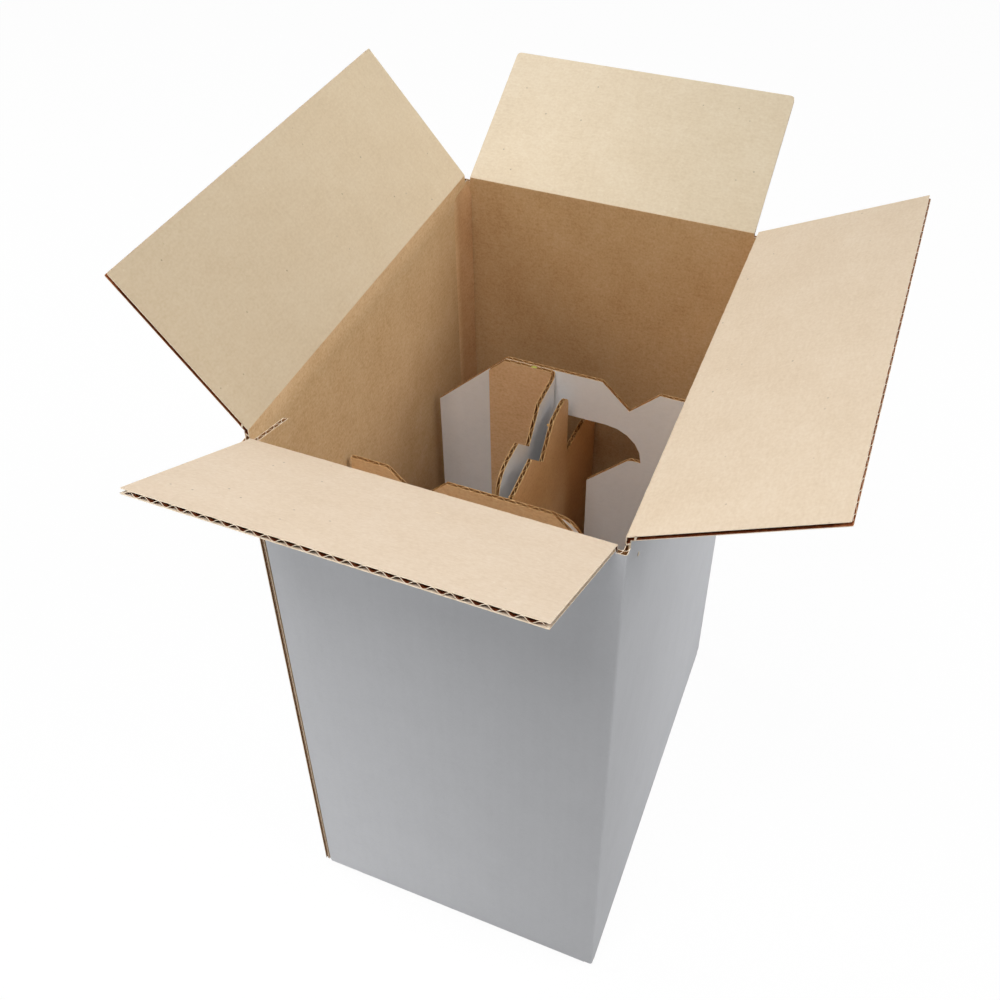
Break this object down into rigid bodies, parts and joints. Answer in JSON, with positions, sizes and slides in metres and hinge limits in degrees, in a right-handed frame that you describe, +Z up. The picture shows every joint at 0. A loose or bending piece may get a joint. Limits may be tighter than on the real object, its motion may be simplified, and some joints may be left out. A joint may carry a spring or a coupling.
{
  "type": "bottle shipping box",
  "caption": "Tall corrugated carton with open top flaps and an interlocked die-cut cell insert that keeps bottles apart.",
  "frame": {"origin": "middle of the box's underside, on the outer bottom flap", "axes": "+Z up to the open top, +X to the right wall, -Y to the front wall that carries the glue tab"},
  "size_m": [0.3307, 0.425, 0.4634],
  "materials": {
    "white_liner": "matte white-lined corrugated board, brown inside",
    "kraft_liner": "matte brown kraft, white outside",
    "insert_white_liner": "matte white liner on one side, kraft on the other",
    "insert_kraft_liner": "matte kraft on one side, white on the other"
  },
  "bodies": {
    "box": {"outer_box": "white_liner", "insert_rear_panel": "insert_white_liner", "insert_front_panel": "insert_white_liner", "insert_left_divider": "insert_kraft_liner", "insert_right_divider": "insert_kraft_liner"},
    "left_flap": {"flap_left": "kraft_liner"},
    "right_flap": {"flap_right": "kraft_liner"},
    "front_flap": {"flap_front": "kraft_liner"},
    "back_flap": {"flap_back": "kraft_liner"}
  },
  "joints": [
    {"name": "left_crease", "type": "hinge", "parent": "box", "child": "left_flap", "pos_m": [-0.094, 0, 0.3893], "axis": [0, 1, 0], "range_deg": [-134.9, 129.1]},
    {"name": "right_crease", "type": "hinge", "parent": "box", "child": "right_flap", "pos_m": [0.094, 0, 0.3893], "axis": [0, -1, 0], "range_deg": [-110.5, 153.5]},
    {"name": "front_crease", "type": "hinge", "parent": "box", "child": "front_flap", "pos_m": [0, -0.131, 0.3865], "axis": [-1, 0, 0], "range_deg": [-112.6, 151.4]},
    {"name": "back_crease", "type": "hinge", "parent": "box", "child": "back_flap", "pos_m": [0, 0.131, 0.3865], "axis": [1, 0, 0], "range_deg": [-114.1, 149.9]}
  ]
}
